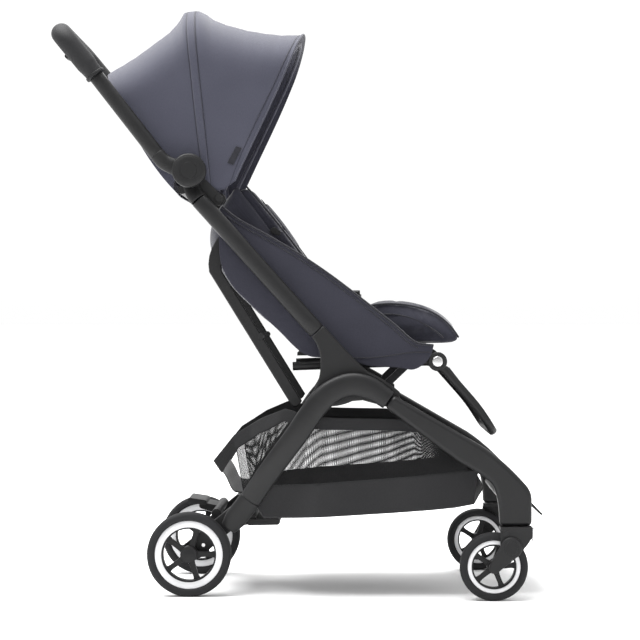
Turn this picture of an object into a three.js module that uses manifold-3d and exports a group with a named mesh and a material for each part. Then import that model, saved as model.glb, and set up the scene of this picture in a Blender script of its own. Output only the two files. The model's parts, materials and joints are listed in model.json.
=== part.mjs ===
// Compact folding baby stroller, millimetres, +X forwards, +Y to the rider's left, +Z up.
// Origin: on the ground, below the centre of the whole stroller.
// The frame is built in layers across its width, so that every member swings past its neighbour:
// legs outside, then the main tubes and handle, then the canopy bows and struts, then the seat.

import * as THREE from "three";
import { mergeVertices } from "three/addons/utils/BufferGeometryUtils.js";
import Module from "manifold-3d";

const wasm = await Module();
wasm.setup();

// ---- Driving dimensions ----------------------------------------------------

const gap = 0.3; // between pieces that touch

// Side-view pivots, as [x, z].
const hub = [98, 372]; // legs and main tubes turn here
const disc = [-189, 754]; // handle turns on the main tubes
const canopyPivot = [-138, 706];
const seatPivot = [98, 412];
const seatFront = [250, 417]; // leg rest turns here
const brakePivot = [-146, 142];
const strutPivot = [-124, 638];
const linkPivot = [205, 420];

// Layers across the width, each as [inner face, outer face] of |y|.
const legLayer = [190, 210];
const lugLayer = [185.6, 189.4];
const tubeLayer = [161, 185];
const panelLayer = [155.6, 159.6];
const bowLayers = { rear: 150.4, mid: 142.4, front: 134.4 };
const strutLayer = [139, 151];
const railLayer = [117, 133];
const padHalfWidth = 112;

// Wheels.
const wheelSides = 28;
const flatFoot = Math.cos(Math.PI / wheelSides); // a wheel stands on one flat of its polygon
const frontWheel = { radius: 60, width: 23, x: 346, y: 200, z: 60 * flatFoot, rim: 46, rimInner: 38, hub: 12 };
const rearWheel = { radius: 75, width: 28, x: -191.5, y: 149, z: 75 * flatFoot, rim: 60.4, rimInner: 47.7, hub: 15 };
const spokeCount = 5;

// Front caster.
const swivel = { x: 384.5, y: 198.5, top: 130.2 };
const armPivot = [375, 94];

// Tube sizes.
const mainTube = { width: 30, thick: 23 };
const handleTube = { width: 27, thick: 23.5 };
const gripRadius = 18.5;
const bowRadius = 3.5;

const sides = [["R", -1], ["L", 1]];

// ---- Materials --------------------------------------------------------------

const finish = (color, roughness, metalness) =>
  new THREE.MeshStandardMaterial({ color, roughness, metalness });

const frameBlack = () => finish(0x2e2e30, 0.5, 0.35);
const plasticBlack = () => finish(0x29292b, 0.55, 0);
const rubberBlack = () => finish(0x262627, 0.85, 0);
const rimSilver = () => finish(0xc9c9c9, 0.35, 0.6);
const gripRubber = () => finish(0x2b2b2e, 0.75, 0);
const canopyBlue = () => finish(0x6f7088, 0.9, 0);
const seatNavy = () => finish(0x3a3a48, 0.9, 0);
const webbingBlack = () => finish(0x1c1c20, 0.9, 0);

// ---- Shape helpers ------------------------------------------------------------

// A polyline used as an extrusion path: one section at each stop.
class Route extends THREE.Curve {
  constructor(stops) {
    super();
    this.stops = stops;
  }

  getPoint(t, target = new THREE.Vector3()) {
    const place = t * (this.stops.length - 1);
    const i = Math.min(Math.floor(place), this.stops.length - 2);
    return target.lerpVectors(this.stops[i], this.stops[i + 1], place - i);
  }

  getPointAt(u, target) {
    return this.getPoint(u, target);
  }

  getTangentAt(u, target = new THREE.Vector3()) {
    const last = this.stops.length - 1;
    const i = Math.round(u * last);
    const before = this.stops[Math.max(i - 1, 0)];
    const after = this.stops[Math.min(i + 1, last)];
    return target.subVectors(after, before).normalize();
  }
}

const at = (x, y, z) => new THREE.Vector3(x, y, z);

// Rounds every inner corner of a list of points with a short curve.
function bend(corners, radius, pieces = 5) {
  const stops = [corners[0]];
  for (let i = 1; i < corners.length - 1; i += 1) {
    const [a, b, c] = [corners[i - 1], corners[i], corners[i + 1]];
    const reach = Math.min(radius, a.distanceTo(b) / 2.1, b.distanceTo(c) / 2.1);
    const start = b.clone().add(a.clone().sub(b).setLength(reach));
    const end = b.clone().add(c.clone().sub(b).setLength(reach));
    stops.push(...new THREE.QuadraticBezierCurve3(start, b, end).getPoints(pieces));
  }
  stops.push(corners[corners.length - 1]);
  return stops;
}

// A bar of oval section along stops: width in the side view, thick across it.
function sweep(stops, width, thick = width, sectionSides = 12) {
  const section = new THREE.Shape();
  section.absellipse(0, 0, thick / 2, width / 2, 0, 2 * Math.PI);
  return new THREE.ExtrudeGeometry(section, {
    steps: stops.length - 1,
    curveSegments: sectionSides / 2,
    extrudePath: new Route(stops),
  });
}

// A plate with the given side-view shape, from y0 to y1, with eased edges.
function plate(shape, y0, y1, ease = 0, curveSegments = 5) {
  const depth = Math.abs(y1 - y0) - 2 * ease;
  const geometry = new THREE.ExtrudeGeometry(shape, {
    depth,
    curveSegments,
    bevelEnabled: ease > 0,
    bevelThickness: ease,
    bevelSize: ease,
    bevelOffset: -ease,
    bevelSegments: 1,
  });
  return geometry.rotateX(Math.PI / 2).translate(0, Math.max(y0, y1) - ease, 0);
}

const layered = (shape, layer, side, ease) => plate(shape, side * layer[0], side * layer[1], ease);

// A closed outline through points in the side view.
const outline = (points) => new THREE.Shape(points.map(([x, z]) => new THREE.Vector2(x, z)));

function capsule([x0, z0], [x1, z1], r0, r1 = r0) {
  const along = Math.atan2(z1 - z0, x1 - x0);
  const shape = new THREE.Shape();
  shape.absarc(x1, z1, r1, along - Math.PI / 2, along + Math.PI / 2);
  shape.absarc(x0, z0, r0, along + Math.PI / 2, along + 1.5 * Math.PI);
  return shape;
}

function circle([x, z], radius) {
  const shape = new THREE.Shape();
  shape.absarc(x, z, radius, 0, 2 * Math.PI);
  return shape;
}

// A turned piece on an axis parallel to Y; the profile holds [radius, y] pairs.
function turned(profile, x, y, z, segments = 24) {
  const points = profile.map(([r, h]) => new THREE.Vector2(r, h));
  return new THREE.LatheGeometry(points, segments, Math.PI / segments).translate(x, y, z);
}

// Geometry to manifold solid and back, for pieces joined or cut.
function solid(geometry) {
  const bare = geometry.clone();
  for (const name of ["normal", "uv"]) bare.deleteAttribute(name);
  const merged = mergeVertices(bare, 1e-4);
  return new wasm.Manifold(new wasm.Mesh({
    numProp: 3,
    vertProperties: new Float32Array(merged.attributes.position.array),
    triVerts: new Uint32Array(merged.index.array),
  }));
}

function geometryOf(manifold) {
  const mesh = manifold.getMesh();
  const geometry = new THREE.BufferGeometry();
  geometry.setAttribute("position", new THREE.BufferAttribute(mesh.vertProperties, 3));
  geometry.setIndex(new THREE.BufferAttribute(mesh.triVerts, 1));
  return geometry;
}

const join = (...geometries) => geometryOf(geometries.map(solid).reduce((a, b) => a.add(b)));

const cut = (geometry, ...tools) =>
  geometryOf(tools.map(solid).reduce((left, tool) => left.subtract(tool), solid(geometry)));

const stroller = new THREE.Group();

function add(name, geometry, material) {
  const mesh = new THREE.Mesh(geometry, material);
  mesh.name = name;
  stroller.add(mesh);
}

// ---- Front frame: legs, cross tube, footboard -----------------------------------

function frontLeg(side) {
  const shell = new THREE.Shape();
  shell.moveTo(171.4, 362);
  shell.lineTo(325, 271);
  shell.quadraticCurveTo(362, 247, 399, 206);
  shell.quadraticCurveTo(412.5, 192, 412.5, 176);
  shell.lineTo(412.5, swivel.top + gap);
  shell.lineTo(356, swivel.top + gap);
  shell.quadraticCurveTo(355, 185, 343, 203);
  shell.quadraticCurveTo(330, 218, 285, 242);
  shell.lineTo(155.3, 337.5);
  const lug = capsule(hub, [190, 339], 17, 11);
  return join(
    layered(shell, [187, 210], side, 6),
    layered(lug, lugLayer, side, 0),
  );
}

// The tube between the feet carries the footboard, a thin curved plate.
function frontCrossTube() {
  const reach = 187 - gap;
  const board = outline([[366, 182], [384, 186.5], [412, 172], [437, 146], [434.5, 143.5], [409, 167], [384, 180],
    [366, 172]]);
  return join(sweep([at(368, -reach, 176), at(368, reach, 176)], 18), plate(board, -150, 150));
}

// ---- Rear frame: arched legs, brackets, cross tube --------------------------------

const rearLegEnd = at(-82, 153.4, 172.9);

function rearLegRoute(side) {
  const route = new THREE.CatmullRomCurve3([
    at(161.5, 200, 350.5), at(131, 200, 370.5), at(97, 200, 378), at(63, 200, 366),
    at(38, 200, 343), at(0, 196, 289), at(-44, 180, 229), rearLegEnd,
  ], false, "centripetal");
  return route.getPoints(16).map((p) => at(p.x, side * p.y, p.z));
}

const rearLeg = (side) => sweep(rearLegRoute(side), 41, 20, 16);

function rearBracket(side) {
  const socket = capsule([-93, 158], [-112, 138], 16);
  const arm = capsule([-100, 146], [rearWheel.x, rearWheel.z], 17, 15);
  const body = join(
    plate(socket, side * 114, side * 160, 3),
    plate(arm, side * 112, side * 131, 3),
  );
  return cut(body, plate(circle(pinAt, 4), side * 105, side * 140, 0, 4));
}

// The tube between the brackets, with the foot that the folded stroller stands on.
function rearCrossTube() {
  const reach = 112 - gap;
  return join(
    sweep([at(-146, -reach, 112), at(-146, reach, 112)], 24),
    plate(capsule([-84, 127], [-140, 116], 8), -64, 64),
    plate(capsule([-88, 122], [-38, 123], 5.5), -70, 70),
  );
}

// ---- Brake ---------------------------------------------------------------------

function brakePedal() {
  const arm = capsule(brakePivot, [-176, 150], 7, 6);
  const pad = capsule([-172, 156], [-198, 160], 4.5);
  const sleeve = circle(brakePivot, 9);
  return join(
    plate(sleeve, -108, 108, 0),
    plate(arm, -40, 40),
    plate(pad, -46, 46),
  );
}

// The pin slides out through the bracket, in between the wheel's spokes.
const pinAt = [rearWheel.x + 24, rearWheel.z + 14];
const brakePin = (side) => plate(circle(pinAt, 3.5), side * 114, side * 131.5, 0, 4);

// ---- Main tubes, junction mouldings and handle hinges ------------------------------

const mainTop = [-172.4, 703];
const mainBottom = [35.6, 471.4];
const mainDirection = [0.668, -0.744];
const handleDirection = [-0.614, 0.789];
const shortOf = ([x, z], [ux, uz], distance) => [x - distance * ux, z - distance * uz];
const middle = (layer) => (layer[0] + layer[1]) / 2;

function mainTubePiece(side) {
  const y = side * middle(tubeLayer);
  const stops = [at(mainTop[0], y, mainTop[1]), at(mainBottom[0], y, mainBottom[1])];
  return sweep(stops, mainTube.width, mainTube.thick);
}

function junction(side) {
  const shape = new THREE.Shape();
  shape.moveTo(25.4, 461.5);
  shape.quadraticCurveTo(45, 443, 42, 405);
  shape.quadraticCurveTo(40, 372, 14, 347);
  shape.quadraticCurveTo(60, 330, 98, 348);
  shape.quadraticCurveTo(140, 352, 182, 352);
  shape.lineTo(182, 364);
  shape.quadraticCurveTo(160, 384, 126, 400);
  shape.lineTo(47.4, 481.2);
  return layered(shape, tubeLayer, side, 6);
}

// Each hinge has two halves side by side: the main tube's inside, the handle's outside.
const hingeMid = 173;
const knuckle = 30;

// The part of a hinge half that fills the whole layer, outside the other half's turning circle.
function hingeCheek(tubeEnd, direction, width, fromAngle, toAngle) {
  const [x, z] = shortOf(tubeEnd, direction, gap);
  const [nx, nz] = [-direction[1] * width / 2, direction[0] * width / 2];
  const shape = new THREE.Shape();
  shape.moveTo(x - nx, z - nz);
  shape.lineTo(x + nx, z + nz);
  shape.absarc(disc[0], disc[1], knuckle + 2, fromAngle * Math.PI / 180, toAngle * Math.PI / 180, true);
  return shape;
}

function hingeSocket(side) {
  return join(
    plate(circle(disc, knuckle - 1), side * 160, side * (hingeMid - gap), 0),
    plate(capsule(disc, shortOf(mainTop, mainDirection, 15 + gap), 15), side * tubeLayer[0],
      side * (hingeMid - gap)),
    layered(hingeCheek(mainTop, mainDirection, mainTube.width, -50, -104), tubeLayer, side, 0),
    plate(capsule(canopyPivot, [-176, 736], 9, 12), side * 154.6, side * 160.6, 0),
    plate(circle(canopyPivot, 5), side * 131, side * 155, 0),
  );
}

function backBrace() {
  const reach = 160 - gap;
  const [x, z] = [-203, 722];
  return sweep([at(x, -reach, z), at(x, reach, z)], 16, 16, 12);
}

// ---- Back struts -----------------------------------------------------------------

function backStrut(side) {
  const shape = new THREE.Shape();
  shape.moveTo(-134, 646);
  shape.quadraticCurveTo(-163, 612, -156, 576);
  shape.lineTo(-9, 338);
  shape.quadraticCurveTo(2, 332, 9, 347);
  shape.lineTo(-133, 577);
  shape.quadraticCurveTo(-139, 600, -115, 629);
  shape.quadraticCurveTo(-114, 646, -134, 646);
  return join(
    layered(shape, strutLayer, side, 2),
    plate(circle(strutPivot, 8), side * 150, side * (tubeLayer[0] - gap), 0),
    plate(circle([-64, 462], 6), side * 137.5, side * 152.5, 0),
  );
}

// ---- Handle ------------------------------------------------------------------------

const handleLow = [-246, 783];
const handleHigh = [-356, 924.4];
const gripEnd = [-419, 1001];

function elbow(side) {
  return join(
    plate(circle(disc, knuckle), side * hingeMid, side * 194, 3),
    plate(capsule(disc, shortOf(handleLow, handleDirection, 13 + gap), 13), side * hingeMid,
      side * tubeLayer[1]),
    layered(hingeCheek(handleLow, handleDirection, handleTube.width, 190, 142), tubeLayer, side, 0),
  );
}

function handleTubePiece(side) {
  const y = side * middle(tubeLayer);
  const stops = [at(handleLow[0], y, handleLow[1]), at(handleHigh[0], y, handleHigh[1])];
  return sweep(stops, handleTube.width, handleTube.thick);
}

function grip() {
  const y = middle(tubeLayer);
  const half = [at(-356.4, -y, 924.9), at(-376, -y, 949), at(gripEnd[0], -y, gripEnd[1])];
  const other = half.map((p) => at(p.x, -p.y, p.z)).reverse();
  return sweep(bend([...half, ...other], 36, 4), 2 * gripRadius, 2 * gripRadius - 3);
}

function foldButton() {
  return plate(capsule([-427.6, 978.2], [-421.8, 977], 5), -16, 16);
}

// ---- Canopy ---------------------------------------------------------------------------

const bowAngles = { rear: 124.4, mid: 98.5, front: 64.4 };
const eyeRadius = 11;
const bowReach = { rear: 285, mid: 349, front: 326 };

// A point at some reach along a bow's direction in the side view.
function onBow(name, reach) {
  const angle = bowAngles[name] * Math.PI / 180;
  return [canopyPivot[0] + reach * Math.cos(angle), canopyPivot[1] + reach * Math.sin(angle)];
}

// A wire that rises straight from its eye and arches over the top.
function bow(name) {
  const straight = 0.62 * bowReach[name];
  const stops = [];
  const put = (reach, y) => {
    const [x, z] = onBow(name, reach);
    stops.push(at(x, y, z));
  };
  put(eyeRadius - 2, -bowLayers[name]);
  const pieces = 12;
  for (let i = 0; i <= pieces; i += 1) {
    const turn = Math.PI * i / pieces;
    put(straight + (bowReach[name] - straight) * Math.sin(turn) ** 0.8, -bowLayers[name] * Math.cos(turn));
  }
  put(eyeRadius - 2, bowLayers[name]);
  const eyes = sides.map(([, side]) => eye(side, bowLayers[name]));
  return join(sweep(stops, 2 * bowRadius, 2 * bowRadius, 6), ...eyes);
}

// The flat ring by which a bow turns on its pin.
function eye(side, y) {
  const ring = circle(canopyPivot, eyeRadius);
  ring.holes.push(new THREE.Path().absarc(canopyPivot[0], canopyPivot[1], 5.4, 0, 2 * Math.PI, true));
  return plate(ring, side * (y - bowRadius), side * (y + bowRadius), 0);
}

// Moves an outline inwards by a wall's thickness.
function inset(points, wall) {
  const n = points.length;
  const unit = ([ax, az], [bx, bz]) => {
    const length = Math.hypot(bx - ax, bz - az);
    return [(bx - ax) / length, (bz - az) / length];
  };
  return points.map((p, i) => {
    const [ux, uz] = unit(points[(i + n - 1) % n], p);
    const [vx, vz] = unit(p, points[(i + 1) % n]);
    const scale = wall / (1 + ux * vx + uz * vz);
    return [p[0] + (uz + vz) * scale, p[1] - (ux + vx) * scale];
  });
}

// The hood: a shell over the bows, open below and in front. Its outline runs clockwise.
const hoodCrown = [
  [-338, 930], [-289, 978.6], [-250, 1007], [-222, 1035.6], [-209, 1057], [-183, 1059.7],
  [-165, 1046], [-119, 1030], [-55, 1016], [12, 1017.5],
];
const hoodWall = 3.5;
const hoodHalfWidth = 158;

const hoodRear = [[-196, 750], [-262, 784]];
const hoodFront = [-104, 758];

function canopyFabric() {
  const outer = outline([...hoodRear, ...hoodCrown, hoodFront]);
  const lining = inset([...hoodRear, ...hoodCrown, hoodFront], hoodWall);
  const [firstX, firstZ] = lining[0];
  const [lastX, lastZ] = lining[lining.length - 2];
  const room = outline([
    [firstX + 24, firstZ - 32], ...lining.slice(0, -1), [lastX + 30, lastZ + 1], [-70, 730],
  ]);
  return cut(
    plate(outer, -hoodHalfWidth, hoodHalfWidth),
    plate(room, hoodWall - hoodHalfWidth, hoodHalfWidth - hoodWall),
  );
}

// ---- Seat ---------------------------------------------------------------------------

const railRadius = 8;

function seatFrame() {
  const y = middle(railLayer);
  const corners = [at(-8, -y, 408), at(seatFront[0] + 8, -y, 417.5), at(seatFront[0] + 8, y, 417.5),
    at(-8, y, 408)];
  const pins = sides.flatMap(([, side]) => [
    plate(circle(seatPivot, 7), side * 128, side * (tubeLayer[0] - gap), 0),
    plate(circle(seatFront, 7), side * 128, side * (strutLayer[1] + 2.5), 0),
    plate(circle(linkPivot, 5), side * 120, side * strutLayer[1], 0),
  ]);
  return join(sweep(bend(corners, 26, 3), 2 * railRadius, 2 * railRadius, 10), ...pins);
}

function seatLink(side) {
  const bar = capsule(linkPivot, [163, 380], 6.5, 6.5);
  bar.holes.push(new THREE.Path().absarc(linkPivot[0], linkPivot[1], 5.3, 0, 2 * Math.PI, true));
  return layered(bar, [strutLayer[0], strutLayer[1] - 0.5], side, 0);
}

function seatBoard() {
  return plate(outline([[0, 427], [0, 433], [236, 437], [236, 431]]), -128, 128);
}

function seatPad() {
  const shape = new THREE.Shape();
  shape.moveTo(2, 440);
  shape.lineTo(119, 443);
  shape.lineTo(119, 505);
  shape.quadraticCurveTo(95, 508, 80, 500);
  shape.quadraticCurveTo(30, 478, 2, 462);
  return plate(shape, -padHalfWidth, padHalfWidth, 3);
}

function calfPad() {
  const shape = new THREE.Shape();
  shape.moveTo(120, 444);
  shape.lineTo(252, 447);
  shape.quadraticCurveTo(296, 446, 295, 457);
  shape.quadraticCurveTo(272, 498, 232, 512);
  shape.quadraticCurveTo(178, 532, 120, 519);
  return plate(shape, -padHalfWidth - 4, padHalfWidth + 4, 4);
}

function sidePanel(side) {
  const shape = outline([
    [-106, 668], [4, 608], [59, 571], [124, 521.5], [218, 447], [252, 445], [256, 434],
    [130, 426], [18, 424], [-87, 524], [-126, 581], [-121, 604], [-106, 622],
  ].reverse());
  return layered(shape, panelLayer, side, 0);
}

// ---- Backrest and harness ---------------------------------------------------------------

const backTop = [-95, 739]; // top and foot of the backrest's front face
const backFoot = [76, 514];

// A point at some height up the backrest, from 0 to 1, and some distance in front of its face.
function onBack(height, out) {
  const [dx, dz] = [backTop[0] - backFoot[0], backTop[1] - backFoot[1]];
  const length = Math.hypot(dx, dz);
  return [backFoot[0] + height * dx + out * dz / length, backFoot[1] + height * dz - out * dx / length];
}

function slab(low, high, inner, outer, halfWidth, ease) {
  const shape = outline([onBack(low, inner), onBack(low, outer), onBack(high, outer), onBack(high, inner)]);
  return plate(shape, -halfWidth, halfWidth, ease);
}

// The pad and the sling that hangs behind it.
const backrestPad = () => plate(outline([
  onBack(0, 0), onBack(1, 0), onBack(1, -30), [-152, 686], [-163, 640], [-150, 590], [-108, 536], [-50, 482],
  [-8, 455], [-4, 474], onBack(0, -30),
].reverse()), -padHalfWidth, padHalfWidth, 3);

function shoulderStrap(side) {
  return slab(0.2, 0.86, 0.5, 4.5, 15, 0).translate(0, side * 46, 0);
}

function buckle() {
  const body = plate(outline([[98, 545], [113, 545], [116, 509], [96, 509]]), -24, 24, 3);
  return cut(body, buckleButtonAt(11.4, 14));
}

// The release sits in a round recess in the buckle's front face.
function buckleButtonAt(radius, length) {
  return new THREE.CylinderGeometry(radius, radius, length, 18).rotateZ(Math.PI / 2).translate(113, 0, 527);
}

const buckleButton = () => buckleButtonAt(11, 6);

// ---- Leg rest ---------------------------------------------------------------------------

const legRestKnee = [324, 333];
const legRestTip = [351, 290];

function legRestBar() {
  const y = middle(strutLayer);
  const half = [seatFront, legRestKnee, legRestTip].map(([x, z]) => at(x, -y, z));
  half[0].lerp(half[1], 0.09);
  const other = half.map((p) => at(p.x, -p.y, p.z)).reverse();
  const ears = sides.map(([, side]) => {
    const ear = circle(seatFront, 12);
    ear.holes.push(new THREE.Path().absarc(seatFront[0], seatFront[1], 7.4, 0, 2 * Math.PI, true));
    return layered(ear, [strutLayer[0] + 0.5, strutLayer[1] - 0.5], side, 0);
  });
  return join(sweep(bend([...half, ...other], 24, 3), 15, 9, 10), ...ears);
}

function legRestPanel() {
  const shape = outline([[273, 407], [339, 323], [336, 320.6], [270, 404.6]]);
  return plate(shape, -138, 138);
}

// ---- Basket ------------------------------------------------------------------------------

const basketSide = [
  [-146, 232], [-147, 240], [-112, 286], [-64, 314], [-20, 328], [100, 338], [160, 318], [285, 236],
  [322, 212], [330, 196], [314, 164], [-60, 134], [-70, 180], [-112, 182],
];
const basketPlan = [[-160, 126], [-84, 132], [-30, 158], [40, 182], [345, 182]];
const basketWall = 4;

function basket() {
  const prism = (profile, halfWidth) => solid(plate(outline(profile), -halfWidth, halfWidth));
  const planPrism = (inward, reach) => {
    const near = basketPlan.map(([x, y]) => [x, y - inward]);
    const far = near.map(([x, y]) => [x, -y]).reverse();
    const shape = outline([...near.reverse(), ...far.reverse()]);
    return solid(new THREE.ExtrudeGeometry(shape, { depth: reach, bevelEnabled: false }));
  };
  const outer = prism(basketSide, 190).intersect(planPrism(0, 500));
  const lined = inset(basketSide, basketWall);
  const mouth = [[lined[2][0], 420], [210, 420]];
  const room = [lined[0], lined[1], lined[2], ...mouth, ...lined.slice(7)];
  const inner = prism(room, 190).intersect(planPrism(basketWall, 500));
  return geometryOf(outer.subtract(inner));
}

// ---- Front casters -------------------------------------------------------------------------

const cheekLayer = [212.6, 217.4];
const armLayer = [217.9, 223.9];

function casterHousing(side) {
  const crown = outline([
    [356.3, 129.9], [356.3, 124.5], [396, 124.5], [404, 110], [409, 109], [412.7, 115], [412.7, 129.9],
  ]);
  const cheek = new THREE.Shape();
  cheek.moveTo(356.3, 129.9);
  cheek.lineTo(356.3, 100);
  cheek.absarc(armPivot[0], armPivot[1], 19, Math.PI * 0.95, Math.PI * 1.8);
  cheek.lineTo(405, 101);
  cheek.lineTo(412.7, 113);
  cheek.lineTo(412.7, 129.9);
  return join(
    plate(crown, side * 186, side * 215, 0),
    layered(cheek, cheekLayer, side, 0),
    plate(circle([366, 119], 5.5), side * 216, side * 219, 0),
  );
}

function swingArm(side) {
  const hubPoint = [frontWheel.x, frontWheel.z];
  const arm = plate(capsule(armPivot, hubPoint, 19, 10), side * armLayer[0], side * armLayer[1], 1.5);
  const cap = plate(circle(armPivot, 12), side * 222, side * 225, 0);
  const axle = plate(circle(hubPoint, 8), side * 213, side * 219, 0);
  return join(arm, cap, axle);
}

function swivelLock(side) {
  const shape = outline([[417, 126], [417.5, 108], [416, 103], [413.2, 104], [413.2, 126]]);
  return plate(shape, side * 191, side * 206);
}

// ---- Wheels -----------------------------------------------------------------------------

function tyre({ radius, width, rim }) {
  const half = width / 2;
  const bead = rim + 0.3;
  return [
    [bead, -half + 3], [rim + 5, -half], [radius - 4, -half + 1.5], [radius, -half + 7],
    [radius, half - 7], [radius - 4, half - 1.5], [rim + 5, half], [bead, half - 3], [bead, -half + 3],
  ];
}

function rimBand({ width, rim, rimInner }) {
  const half = width / 2 - 2.5;
  return [[rimInner, -half], [rim, -half], [rim, half], [rimInner, half], [rimInner, -half]];
}

const place = (wheel, side) => [wheel.x, side * wheel.y, wheel.z];

function wheelBody(wheel, side, spokeTurn) {
  const half = wheel.width / 2 - 1;
  const hubProfile = [[0, -half], [wheel.hub, -half], [wheel.hub, half], [0, half]];
  const spoke = (i) => new THREE.BoxGeometry(wheel.rimInner, 9, 11)
    .translate(wheel.rimInner / 2 + 3, 0, 0)
    .rotateY(2 * Math.PI * (i + spokeTurn) / spokeCount)
    .translate(...place(wheel, side));
  return join(
    turned(rimBand(wheel), ...place(wheel, side), wheelSides),
    turned(hubProfile, ...place(wheel, side), 20),
    ...Array.from({ length: spokeCount }, (_, i) => spoke(i)),
  );
}

// ---- Assembly ---------------------------------------------------------------------------

for (const [tag, side] of sides) {
  add(`front_leg_${tag}`, frontLeg(side), frameBlack());
  add(`rear_leg_${tag}`, rearLeg(side), frameBlack());
  add(`rear_bracket_${tag}`, rearBracket(side), plasticBlack());
  add(`brake_pin_${tag}`, brakePin(side), frameBlack());
  add(`main_tube_${tag}`, mainTubePiece(side), frameBlack());
  add(`junction_${tag}`, junction(side), plasticBlack());
  add(`hinge_socket_${tag}`, hingeSocket(side), plasticBlack());
  add(`back_strut_${tag}`, backStrut(side), plasticBlack());
  add(`hinge_elbow_${tag}`, elbow(side), plasticBlack());
  add(`handle_tube_${tag}`, handleTubePiece(side), frameBlack());
  add(`seat_link_${tag}`, seatLink(side), webbingBlack());
  add(`side_panel_${tag}`, sidePanel(side), seatNavy());
  add(`shoulder_strap_${tag}`, shoulderStrap(side), webbingBlack());
  add(`caster_${tag}`, casterHousing(side), plasticBlack());
  add(`swing_arm_${tag}`, swingArm(side), plasticBlack());
  add(`swivel_lock_${tag}`, swivelLock(side), plasticBlack());
  add(`front_tyre_${tag}`, turned(tyre(frontWheel), ...place(frontWheel, side), wheelSides), rubberBlack());
  add(`front_rim_${tag}`, wheelBody(frontWheel, side, -0.05), rimSilver());
  add(`rear_tyre_${tag}`, turned(tyre(rearWheel), ...place(rearWheel, side), wheelSides), rubberBlack());
  add(`rear_rim_${tag}`, wheelBody(rearWheel, side, 0), rimSilver());
}

add("front_cross_tube", frontCrossTube(), frameBlack());
add("rear_cross_tube", rearCrossTube(), frameBlack());
add("brake_pedal", brakePedal(), plasticBlack());
add("back_brace", backBrace(), frameBlack());
add("grip", grip(), gripRubber());
add("fold_button", foldButton(), plasticBlack());
for (const name of Object.keys(bowReach)) add(`canopy_bow_${name}`, bow(name), frameBlack());
add("canopy", canopyFabric(), canopyBlue());
add("seat_frame", seatFrame(), frameBlack());
add("seat_board", seatBoard(), plasticBlack());
add("seat_pad", seatPad(), seatNavy());
add("calf_pad", calfPad(), seatNavy());
add("backrest_pad", backrestPad(), seatNavy());
add("buckle", buckle(), plasticBlack());
add("buckle_button", buckleButton(), plasticBlack());
add("leg_rest_bar", legRestBar(), frameBlack());
add("leg_rest_panel", legRestPanel(), seatNavy());
add("basket", basket(), webbingBlack());

export default stroller;
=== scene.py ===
import json
import math

import bmesh
import bpy
import numpy as np
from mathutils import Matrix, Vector, noise


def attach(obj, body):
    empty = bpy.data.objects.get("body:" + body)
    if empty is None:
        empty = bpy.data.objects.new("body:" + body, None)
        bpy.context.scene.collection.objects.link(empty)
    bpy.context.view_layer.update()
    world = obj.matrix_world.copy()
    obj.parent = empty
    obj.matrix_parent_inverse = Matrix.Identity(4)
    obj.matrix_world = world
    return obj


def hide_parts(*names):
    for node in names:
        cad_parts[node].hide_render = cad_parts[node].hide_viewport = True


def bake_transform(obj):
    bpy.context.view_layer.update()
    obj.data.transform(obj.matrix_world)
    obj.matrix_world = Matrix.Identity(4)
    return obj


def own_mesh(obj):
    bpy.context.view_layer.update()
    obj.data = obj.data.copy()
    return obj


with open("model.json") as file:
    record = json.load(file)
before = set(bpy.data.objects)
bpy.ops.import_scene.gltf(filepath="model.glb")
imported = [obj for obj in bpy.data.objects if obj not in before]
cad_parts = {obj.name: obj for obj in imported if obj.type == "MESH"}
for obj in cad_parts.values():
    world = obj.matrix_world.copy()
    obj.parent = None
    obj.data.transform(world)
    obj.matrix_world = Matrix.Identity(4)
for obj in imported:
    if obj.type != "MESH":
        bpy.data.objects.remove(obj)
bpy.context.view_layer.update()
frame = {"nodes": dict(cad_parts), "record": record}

record = frame["record"]
BODY_OF = {n: b for b, nodes in record["behaviour"]["bodies"].items() for n in nodes}
SIDES = (("R", -1), ("L", 1))
MM = 0.001

# ---- Layout, in millimetres, as in the CAD ----

DISC = (-189, 754)
CANOPY_PIVOT = (-138, 706)
SEAT_FRONT = (250, 417)
TUBE_Y = 173  # the main and handle tubes, to each side
LEG_Y = 200  # the rear legs at the hub
FRONT_WHEEL = dict(radius=59.8, width=23, x=346, y=200, z=59.62, rim=46.5, inner=38.5, hub=12, spokes=9)
REAR_WHEEL = dict(radius=74.8, width=28, x=-191.5, y=149, z=74.53, rim=60.6, inner=48, hub=15, spokes=10)


def point(x, y, z):
    return Vector((x * MM, y * MM, z * MM))


# ---- Materials ----


def add_node(tree, kind, inputs=None, **settings):
    made = tree.nodes.new(kind)
    for key, value in settings.items():
        setattr(made, key, value)
    for key, value in (inputs or {}).items():
        if isinstance(value, bpy.types.NodeSocket):
            tree.links.new(value, made.inputs[key])
        else:
            made.inputs[key].default_value = value
    return made


def maths(tree, operation, a, b=0.0):
    return add_node(tree, "ShaderNodeMath", {0: a, 1: b}, operation=operation).outputs[0]


def mix_colour(tree, share, a, b):
    made = add_node(tree, "ShaderNodeMix", {0: share}, data_type="RGBA")
    for index, value in ((6, a), (7, b)):
        if isinstance(value, bpy.types.NodeSocket):
            tree.links.new(value, made.inputs[index])
        else:
            made.inputs[index].default_value = (*value, 1)
    return made.outputs[2]


def spread(tree, value, low, high, to_low=0.0, to_high=1.0):
    return add_node(tree, "ShaderNodeMapRange", {0: value, 1: low, 2: high, 3: to_low, 4: to_high}).outputs[0]


def start(name):
    made = bpy.data.materials.new(name)
    made.use_nodes = True
    return made, made.node_tree, made.node_tree.nodes["Principled BSDF"]


def bump(tree, shader, height, strength, distance):
    made = add_node(tree, "ShaderNodeBump", {"Strength": strength, "Distance": distance, "Height": height})
    tree.links.new(made.outputs[0], shader.inputs["Normal"])


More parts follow.
